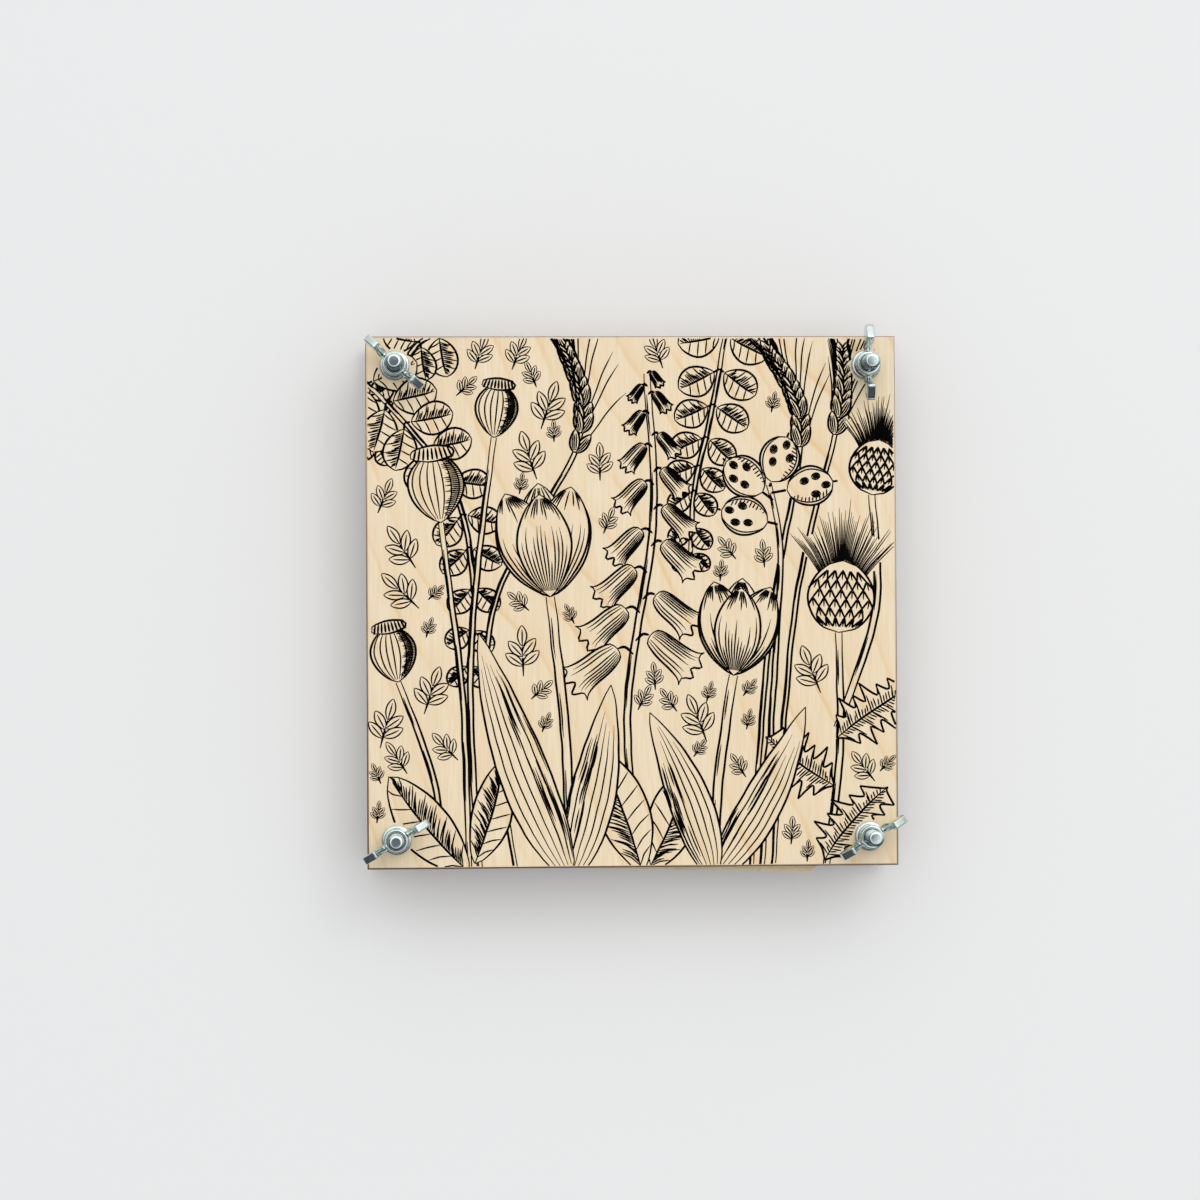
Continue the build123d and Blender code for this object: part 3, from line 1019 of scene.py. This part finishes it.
def draw_wheat(motif, line, count, size):
    """An ear of wheat: husks in two rows up the stem, each with a long awn."""
    for husk_pair in range(count):
        share = husk_pair / count
        index = min(int((1 - ear_share + (ear_share - 0.01) * share) * len(line)), len(line) - 2)
        heading = heading_at(line, index)
        for side in (1, -1):
            turn = heading + side * (husk_lean - husk_lean_lost * share)
            husk = blade(line[index], turn, size, size * husk_width_share, -0.1 * side, *husk_form)
            for rib in husk_ribs:
                pen(motif, along(husk, rib * side, 0.1, 0.8, 4), fine_pen, end=0.2)
            ink_outline(motif, husk)
            reach = heading_frame(husk(1.0, 0), heading + side * awn_lean)
            awn = [reach(0, 0), reach(size * 1.2, side * 0.3), reach(size * 2.3, side * 1.6)]
            pen(motif, flowing(awn, 5), fine_pen, start=0.9, end=0.15)
    ink_stem(motif, line, wheat_stem)


print("share of a stalk that is ear:", ear_share)

# %% [markdown]
# ## Thistles
# A thistle is a globe of overlapping scales, set in rows like roof tiles, with a dense tuft on top.
# The tuft is many fine strokes that fan out. The leaves have hollow edges that end in long spines.

# %% Thistle heads
globe_form = (0.48, 0.5)
globe_width_share = 0.94
globe_rows, globe_columns = 6, 6
columns_per_half = 2.9
scale_half_width = 0.17
floret_count = 54
floret_pen = 0.42
floret_fan = 34
thistle_stem = 2.4


def draw_thistle(motif, foot, bottom, heading, size, bend):
    """A thistle head: a scaly globe with a tuft of fine florets, on a stout stem."""
    globe = blade(bottom, heading, size, size * globe_width_share, 0.0, *globe_form)
    for row in range(globe_rows):
        share = 0.08 + 0.78 * row / globe_rows
        for column in range(globe_columns):
            side = (column - (globe_columns - 1) / 2 + 0.5 * (row % 2)) / columns_per_half
            if abs(side) < 0.95:
                feet = [globe(share, side + half) for half in (-scale_half_width, scale_half_width)]
                pen(motif, [feet[0], globe(share + 0.13, side), feet[1]], outline_pen, start=0.8, end=0.8)
                pen(motif, [globe(share, side), globe(share + 0.1, side)], fine_pen, end=0.3)
    ink_outline(motif, globe)
    tuft = []
    for floret in range(floret_count):
        spread = (floret + 0.5) / floret_count * 2 - 1
        root = globe(0.9 - 0.14 * abs(spread), spread * 0.8)
        reach = heading_frame(root, heading + spread * floret_fan)
        length = size * hand.uniform(0.55, 0.95) * (1.05 - 0.25 * abs(spread))
        line = flowing([root, reach(length * 0.5, spread * 0.6), reach(length, spread * 2.2)], 4)
        pen(motif, line, floret_pen, start=1.0, end=0.3)
        tuft.append(reach(size * 0.6, spread))
    cover([globe(0.75, 0.9), globe(0.75, -0.9)] + tuft)
    ink_stem(motif, bent_stem(foot, bottom, bend), thistle_stem)


print("florets in a thistle:", floret_count)

# %% Thistle leaves
spiny_form = (0.45, 0.5)
leaf_lobes = 6
long_spine, short_spine = 1.1, 0.85
lobe_hatches = 4


def draw_spiny_leaf(motif, base, heading, length, width, bow):
    """A thistle leaf: hollow edges between long spines, and a vein to each spine."""
    place = blade(base, heading, length, width, bow, *spiny_form)
    edges = []
    for side in (1, -1):
        edge = [place(0.0, 0)]
        for lobe in range(leaf_lobes):
            share = 0.1 + 0.84 * lobe / leaf_lobes
            tip = place(share + 0.06, side * (long_spine if lobe % 2 else short_spine))
            rise = flowing([edge[-1], place(share - 0.01, 0.42 * side), tip], 4)
            pen(motif, rise, outline_pen, start=0.9, end=0.6)
            edge += rise[1:]
            pen(motif, [place(share - 0.03, 0), place(share + 0.04, 0.6 * side)], fine_pen, end=0.3)
            for line in range(lobe_hatches):
                mark = share + 0.035 * line
                hatch = [place(mark, 0.03 * side), place(mark + 0.04, side * hand.uniform(0.2, 0.4))]
                pen(motif, hatch, fine_pen, end=0.2)
        rise = flowing([edge[-1], place(0.95, 0.3 * side), place(1.0, 0)], 4)
        pen(motif, rise, outline_pen, start=0.9, end=0.6)
        edges.append(edge + rise[1:])
    pen(motif, along(place, 0), outline_pen, end=0.3)
    cover(edges[0] + edges[1][::-1])


print("spines on each side of a thistle leaf:", leaf_lobes)

# %% [markdown]
# ## Sprays, moon discs and sprigs
# Round-leaved sprays hang from the back, their leaves in pairs on short stalks. Honesty keeps
# its seeds between two thin skins, so a few dark seeds show in each disc. Small sprigs are there
# to fill what is left open, so that the print is equally dense all over.

# %% Sprays
round_form = (0.54, 0.6)
leaf_lean, leaf_lean_lost = 62, 22
leaf_sway = 8
stalk_share = 0.16
spray_stem = 1.5


def draw_round_spray(motif, line, count, size):
    """A hanging spray with round leaves in pairs, smaller towards its tip."""
    for pair in range(count):
        share = 0.04 + 0.93 * (count - 1 - pair) / (count - 1)
        index = min(max(int(share * (len(line) - 1)), 1), len(line) - 2)
        reach = size * (1.0 - 0.5 * share)
        for side in (1, -1):
            lean = side * (leaf_lean - leaf_lean_lost * share)
            turn = heading_at(line, index) + lean + hand.uniform(-leaf_sway, leaf_sway)
            stalk_end = heading_frame(line[index], turn)(reach * stalk_share, 0)
            leaf = blade(stalk_end, turn, reach, reach * 0.8, 0.06 * side, *round_form)
            ink_leaf(motif, leaf, veins=4, shade=3, dark_side=side)
            pen(motif, [line[index], stalk_end], outline_pen, start=1.0, end=1.0)
    ink_stem(motif, line, spray_stem)


print("a leaf leans out by", leaf_lean, "degrees or less")

# %% Moon discs and sprigs
disc_form = (0.52, 0.5)
disc_width_share = 0.82
disc_hatches = 10
disc_stem = 1.8
# Shares of a disc's length and half width
seed_shares = ((0.3, 0.3), (0.5, -0.42), (0.56, 0.4), (0.74, -0.1))
seed_form = (0.5, 0.5)
seed_ribs = (-0.5, 0.0, 0.5)
# Share of a sprig's length, and turn in degrees, of each leaf
sprig_shares = ((0.54, 0), (0.3, 42), (0.33, -40), (0.09, 55), (0.12, -52))
sprig_form = (0.5, 0.75)


def draw_moon_discs(motif, line, discs, size):
    """Honesty: thin round discs on a branched stem, each with a few flat seeds inside."""
    for share, turn, stalk_length in discs:
        stalk = heading_frame(line[int(share * (len(line) - 1))], turn)
        disc = blade(stalk(stalk_length, 0), turn, size, size * disc_width_share, 0.0, *disc_form)
        for seed_share, seed_side in seed_shares:
            seed_place, seed_turn = disc(seed_share, seed_side), turn + 20 * seed_side
            seed = blade(seed_place, seed_turn, size * 0.2, size * 0.13, 0.0, *seed_form)
            for rib in seed_ribs:
                pen(motif, along(seed, rib, 0.1, 0.9, 3), fine_pen)
            ink_outline(motif, seed, fine_pen)
        for side in (1, -1):
            pen(motif, along(disc, 0.84 * side, 0.06, 0.94), fine_pen)
        for hatch in range(disc_hatches):
            mark = 0.12 + 0.76 * hatch / disc_hatches
            pen(motif, [disc(mark, -0.82), disc(mark + 0.03, -hand.uniform(0.45, 0.65))], fine_pen, end=0.2)
        ink_outline(motif, disc)
        pen(motif, [disc(1.0, 0), disc(1.1, 0)], outline_pen, start=1.0, end=0.3)
        pen(motif, [stalk(0, 0), stalk(stalk_length, 0)], outline_pen * 1.2, start=0.9, end=0.9)
    ink_stem(motif, line, disc_stem)


def draw_sprig(motif, base, heading, size):
    """A small sprig of five leaves."""
    stem = heading_frame(base, heading)
    for forward, turn in sprig_shares:
        leaf = blade(stem(size * forward, 0), heading + turn, size * 0.5, size * 0.22, 0.0, *sprig_form)
        pen(motif, along(leaf, 0, 0, 0.8, 4), fine_pen, end=0.2)
        ink_outline(motif, leaf, 0.03 * size + 0.1)
    pen(motif, [stem(-size * 0.15, 0), stem(size * 0.6, 0)], outline_pen)


print("seeds in a disc:", len(seed_shares), "and leaves in a sprig:", len(sprig_shares))

# %% [markdown]
# ## Composing the meadow
# All plants rise from the front edge of the board, apart from the sprays, which hang from the back.
# Places are in millimetres from the middle of the board. The tulips are in front, so they come
# first. Sprigs go last: a place is tried at random, and taken if no ink is near it.

# %% Plants of the meadow
# Motif, foot, heading, length, width, bow, veins and darker side of the large leaves
large_leaves = (
    ("bells", (3, -102), 104, 52, 20, 0.12, 8, 1),
    ("bells", (5, -102), 62, 44, 18, 0.1, 7, -1),
    ("pods", (-62, -101), 138, 46, 19, -0.14, 7, -1),
    ("pods", (-60, -98), 66, 40, 15, 0.14, 7, 1),
)
large_leaf_form = (0.5, 0.7)
large_leaf_shade = 5
bell_line = flowing([(2, -104), (-2, -40), (8, 30), (6, 86)], stem_steps)
disc_line = flowing([(48, -104), (54, -20), (56, 20), (52, 44)], stem_steps)
# Share of the stem, heading and stalk length of each disc
discs = ((0.98, 70, 2), (0.93, 10, 6), (0.9, 140, 5), (0.78, 165, 4))
# Places along each stem, pairs of husks or leaves, and their size
wheat_ears = (
    (((44, -104), (52, -10), (64, 62), (54, 92)), 11, 9),
    (((52, -104), (62, 0), (78, 66), (80, 90)), 10, 9),
    (((-44, -104), (-54, -10), (-20, 60), (-24, 94)), 10, 9),
)
sprays = (
    (((-101, 84), (-84, 66), (-66, 40), (-60, 6), (-62, -26)), 10, 18),
    (((36, 102), (30, 70), (24, 44), (22, 16)), 8, 16),
    (((-72, 102), (-84, 92), (-96, 58)), 4, 15),
)

draw_tulip("tulips", (-24, -104), (-31, 2), 96, 42, 34, ((116, 98, 19, -0.1), (72, 74, 17, 0.1)))
draw_tulip("tulips", (30, -104), (38, -28), 84, 36, 29, ((104, 66, 16, 0.12), (52, 72, 16, 0.16)))
for motif, foot, heading, length, width, bow, veins, dark_side in large_leaves:
    leaf = blade(foot, heading, length, width, bow, *large_leaf_form)
    ink_leaf(motif, leaf, veins, large_leaf_shade, dark_side)
draw_spiny_leaf("thistles", (76, -70), 150, 32, 22, -0.1)
draw_spiny_leaf("thistles", (77, -52), 40, 34, 22, -0.1)
draw_spiny_leaf("thistles", (72, -98), 60, 36, 22, -0.2)
draw_thistle("thistles", (72, -104), (78, -12), 86, 27, 3)
draw_thistle("thistles", (77, -48), (91, 40), 82, 21, 8)
draw_pod("pods", (-62, -104), (-72, 30), 97, 26, 21, 3)
draw_pod("pods", (-70, -104), (-88, -30), 100, 21, 17, 4)
draw_pod("pods", (-58, -104), (-52, 62), 84, 20, 16, -6)
draw_bell_spire("bells", bell_line, 0.42, 16, (21, 6), 52)
draw_moon_discs("discs", disc_line, discs, 18)
for places, count, size in wheat_ears:
    draw_wheat("wheat", flowing(places, stem_steps), count, size)
for places, count, size in sprays:
    draw_round_spray("sprays", flowing(places, stem_steps), count, size)
print("strokes of the plants:", sum(len(made) for made in strokes.values()))

# %% Sprigs between the plants
sprig_sizes = (16, 12, 9, 7)
tries_per_size = 1800
# Shares of a sprig's size at which the room round its middle is looked at
room_shares = (0, 0.2, 0.42)
for size in sprig_sizes:
    for _ in range(tries_per_size):
        base = Vector((hand.uniform(-print_half, print_half), hand.uniform(-print_half, print_half)))
        turn = hand.uniform(40, 140)
        middle = heading_frame(base, turn)(size * 0.4, 0)
        spokes = [heading_frame(middle, angle) for angle in range(0, 360, 30)]
        around = [spoke(size * share, 0) for spoke in spokes for share in room_shares]
        cells = {(int(spot.x // inked_cell), int(spot.y // inked_cell)) for spot in around}
        if inked.isdisjoint(cells) and not any(hidden(*spot) for spot in around):
            draw_sprig("sprigs", base, turn, size)
print("strokes:", {motif: len(made) for motif, made in strokes.items()})

# %% [markdown]
# ## From strokes to ink
# Each stroke becomes one spline of a curve. The radius of a point is the width of the stroke there,
# and a flat nib is swept along it, as a calligraphy pen would go. The swept curve is made a mesh,
# and its upper and lower points are then set to the two faces of a film of ink on the board. The
# ink is matt and black with a brown cast, and thinner where the fibres of the wood stand up.

# %% Ink material
ink_fibre_size = (0.7, 9)
ink_stops = ((0.35, "#030302"), (0.6, "#070605"), (0.8, "#1a130e"))
ink, add, surface, in_mm = new_material("matt_black_printing_ink")
fibres = streaks(add, in_mm, ink_fibre_size, 3.0)
film = add("ValToRGB", {"Fac": fibres}, ink_stops)
matt = add("MapRange", {"Value": fibres, "To Min": 0.55, "To Max": 0.75})
set_inputs(surface, {"Base Color": film, "Roughness": matt, "Specular IOR Level": 0.03})
print("ink:", ink.name)

# %% Nib
ink_height = 0.03 * MM
nib_corners = ((-1, -1), (1, -1), (1, 1), (-1, 1))
nib_data = bpy.data.curves.new("pen_nib", "CURVE")
nib_outline = nib_data.splines.new("POLY")
nib_outline.points.add(len(nib_corners) - 1)
nib_outline.use_cyclic_u = True
for point, (across, up) in zip(nib_outline.points, nib_corners):
    point.co = (across * MM / 2, up * ink_height, 0, 1)
nib = bpy.data.objects.new("pen_nib", nib_data)
scene.collection.objects.link(nib)
print("corners of the nib:", len(nib_outline.points))

# %% Sweep the nib along the strokes
ink_depth = 0.01 * MM
board_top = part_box("top_board")[1].z
for motif, made in strokes.items():
    drawing = bpy.data.curves.new(motif, "CURVE")
    drawing.dimensions = "3D"
    drawing.twist_mode = "Z_UP"
    drawing.bevel_mode = "OBJECT"
    drawing.bevel_object = nib
    drawing.use_fill_caps = True
    for run in made:
        spline = drawing.splines.new("POLY")
        spline.points.add(len(run) - 1)
        for point, (x, y, width) in zip(spline.points, run):
            point.co = (x * MM, y * MM, 0, 1)
            point.radius = width
    sketch = bpy.data.objects.new(motif, drawing)
    scene.collection.objects.link(sketch)
    bpy.context.view_layer.update()
    swept = bpy.data.meshes.new_from_object(sketch.evaluated_get(bpy.context.evaluated_depsgraph_get()))
    ribbons = bmesh.new()
    ribbons.from_mesh(swept)
    for vert in ribbons.verts:
        vert.co.z = board_top + (ink_height if vert.co.z > 0 else -ink_depth)
    piece = make_piece(f"printed_{motif}", ribbons, ink, "top_board")
    print(piece.name, len(made), "strokes,", len(piece.data.polygons), "faces")
    bpy.data.objects.remove(sketch)
    bpy.data.meshes.remove(swept)
bpy.data.objects.remove(nib)

# %% [markdown]
# ## Measure the press as shown
# The looks must not change the size of the press, so the box of what is shown now is measured.

# %% Measure the box of what is shown
low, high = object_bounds()
